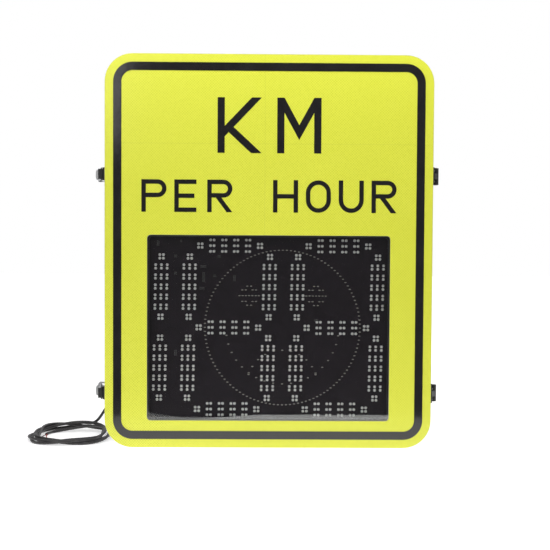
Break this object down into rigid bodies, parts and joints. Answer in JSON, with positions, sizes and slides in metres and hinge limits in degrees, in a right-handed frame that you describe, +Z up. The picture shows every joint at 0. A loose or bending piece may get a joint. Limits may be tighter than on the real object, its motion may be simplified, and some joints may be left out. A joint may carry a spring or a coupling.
{
  "type": "radar speed display sign",
  "caption": "Rounded reflective sign plate with a numeric LED display, hinged as a door on a flat pole-mount cabinet with draw latches and a supply lead.",
  "frame": {"origin": "middle of the cabinet's underside, on the surface that the sign stands on", "axes": "+Z up along the sign's height, -Y the way the display faces, +X towards the hinges"},
  "size_m": [0.9858, 0.2163, 0.9144],
  "materials": {
    "aluminium": "brushed mill finish",
    "sheeting": "fluorescent yellow-green prismatic retroreflective film",
    "black_film": "glossy black film",
    "clear_panel": "clear polycarbonate",
    "circuit_board": "black solder mask",
    "black_steel": "black powder coat",
    "stainless": "satin stainless steel",
    "grey_plastic": "moulded grey plastic",
    "black_plastic": "moulded black plastic",
    "seal_rubber": "closed-cell foam rubber",
    "lead_sheath": "smooth black flexible sheath"
  },
  "bodies": {
    "cabinet": {"rear_tub": "aluminium", "tub_rim": "aluminium", "battery": "black_plastic", "battery_tray": "aluminium", "battery_strap": "stainless", "charge_controller": "grey_plastic", "display_controller": "black_plastic", "terminal_block": "grey_plastic", "mounting_channel_upper": "stainless", "mounting_channel_lower": "stainless", "channel_bolt_1": "stainless", "channel_bolt_2": "stainless", "channel_bolt_3": "stainless", "channel_bolt_4": "stainless", "channel_nut_1": "stainless", "channel_nut_2": "stainless", "channel_nut_3": "stainless", "channel_nut_4": "stainless", "cable_gland": "black_plastic", "gland_nut": "black_plastic", "vent_plug": "black_plastic", "hinge_leaf_cabinet_upper": "black_steel", "hinge_leaf_cabinet_lower": "black_steel", "hinge_pin_upper": "stainless", "hinge_pin_lower": "stainless", "latch_base_upper": "black_steel", "latch_base_lower": "black_steel", "latch_pin_upper": "stainless", "latch_pin_lower": "stainless", "supply_lead_run": "lead_sheath", "supply_lead_coil": "lead_sheath"},
    "door": {"sign_plate": "aluminium", "reflective_sheeting": "sheeting", "border_stripe": "black_film", "window_panel": "clear_panel", "window_retainer": "black_steel", "display_board": "circuit_board", "board_standoff_1": "stainless", "board_standoff_2": "stainless", "board_standoff_3": "stainless", "board_standoff_4": "stainless", "radar_bracket": "aluminium", "radar_module": "grey_plastic", "door_frame": "aluminium", "door_seal": "seal_rubber", "hinge_leaf_door_upper": "black_steel", "hinge_leaf_door_lower": "black_steel", "latch_keeper_upper": "black_steel", "latch_keeper_lower": "black_steel"},
    "lever_upper": {"latch_lever_upper": "stainless"},
    "lever_lower": {"latch_lever_lower": "stainless"},
    "bail_upper": {"latch_bail_upper": "black_steel"},
    "bail_lower": {"latch_bail_lower": "black_steel"},
    "lock_upper": {"lock_plug_upper": "stainless"},
    "lock_lower": {"lock_plug_lower": "stainless"}
  },
  "joints": [
    {"name": "door_hinge", "type": "hinge", "parent": "cabinet", "child": "door", "pos_m": [0.392, -0.0384, 0.4572], "axis": [0, 0, 1], "range_deg": [0, 110]},
    {"name": "lever_upper_hinge", "type": "hinge", "parent": "cabinet", "child": "lever_upper", "pos_m": [-0.3925, -0.0244, 0.637], "axis": [0, 0, 1], "range_deg": [0, 105]},
    {"name": "bail_upper_hinge", "type": "hinge", "parent": "lever_upper", "child": "bail_upper", "pos_m": [-0.397, -0.0134, 0.637], "axis": [0, 0, 1], "range_deg": [-126, 0]},
    {"name": "lock_upper_turn", "type": "hinge", "parent": "lever_upper", "child": "lock_upper", "pos_m": [-0.4089, 0.0106, 0.637], "axis": [-1, 0, 0], "range_deg": [0, 90]},
    {"name": "lever_lower_hinge", "type": "hinge", "parent": "cabinet", "child": "lever_lower", "pos_m": [-0.3925, -0.0244, 0.126], "axis": [0, 0, 1], "range_deg": [0, 105]},
    {"name": "bail_lower_hinge", "type": "hinge", "parent": "lever_lower", "child": "bail_lower", "pos_m": [-0.397, -0.0134, 0.126], "axis": [0, 0, 1], "range_deg": [-126, 0]},
    {"name": "lock_lower_turn", "type": "hinge", "parent": "lever_lower", "child": "lock_lower", "pos_m": [-0.4089, 0.0106, 0.126], "axis": [-1, 0, 0], "range_deg": [0, 90]}
  ],
  "couplings": [
    {"joint": "bail_upper_hinge", "follows": "lever_upper_hinge", "ratio": -1.2},
    {"joint": "bail_lower_hinge", "follows": "lever_lower_hinge", "ratio": -1.2}
  ]
}
